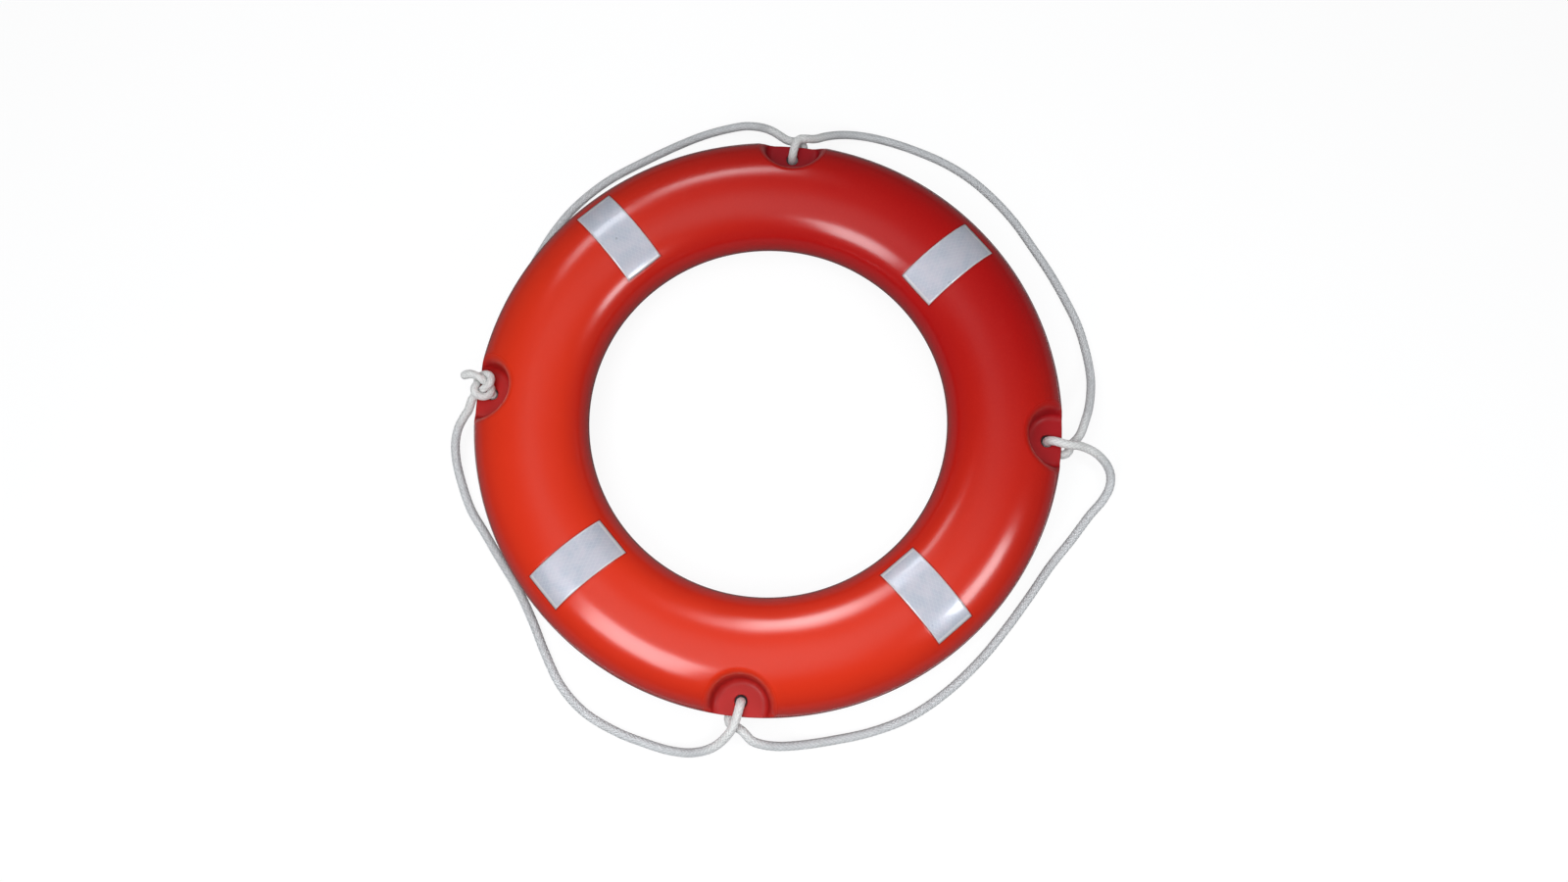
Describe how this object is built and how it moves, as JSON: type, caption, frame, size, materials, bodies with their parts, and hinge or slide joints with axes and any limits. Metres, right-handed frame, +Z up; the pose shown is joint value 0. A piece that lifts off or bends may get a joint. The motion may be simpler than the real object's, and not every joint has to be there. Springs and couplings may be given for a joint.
{
  "type": "life ring",
  "caption": "Moulded ring buoy with reflective tape patches on both faces and a grab line tied round its rim through eyes in the rope notches.",
  "frame": {"origin": "on the plane that the ring lies on, at the centre of the ring", "axes": "+Z up out of the front face, along the ring's axis; the rope notches lie on +X, +Y, -X and -Y, and the end knot is in the notch on -X"},
  "size_m": [0.8285, 0.8231, 0.108],
  "materials": {
    "shell_plastic": "orange-red rotationally moulded polyethylene, semi-gloss",
    "foam": "rigid buoyant foam, matte",
    "plug_plastic": "orange-red moulded plastic, satin",
    "reflective_tape": "silver retroreflective film with a fine cell pattern",
    "rope": "white braided synthetic rope, slightly soiled"
  },
  "bodies": {
    "root": {"shell": "shell_plastic", "foam_core": "foam", "fill_plug": "plug_plastic", "vent_plug": "plug_plastic", "tape_front_1": "reflective_tape", "tape_front_2": "reflective_tape", "tape_front_3": "reflective_tape", "tape_front_4": "reflective_tape", "tape_back_1": "reflective_tape", "tape_back_2": "reflective_tape", "tape_back_3": "reflective_tape", "tape_back_4": "reflective_tape", "eye_strand": "rope", "grab_line_upper_left": "rope", "hitch_top": "rope", "grab_line_upper_right": "rope", "hitch_right": "rope", "grab_line_lower_right": "rope", "hitch_bottom": "rope", "grab_line_lower_left": "rope", "end_knot": "rope"}
  },
  "joints": []
}
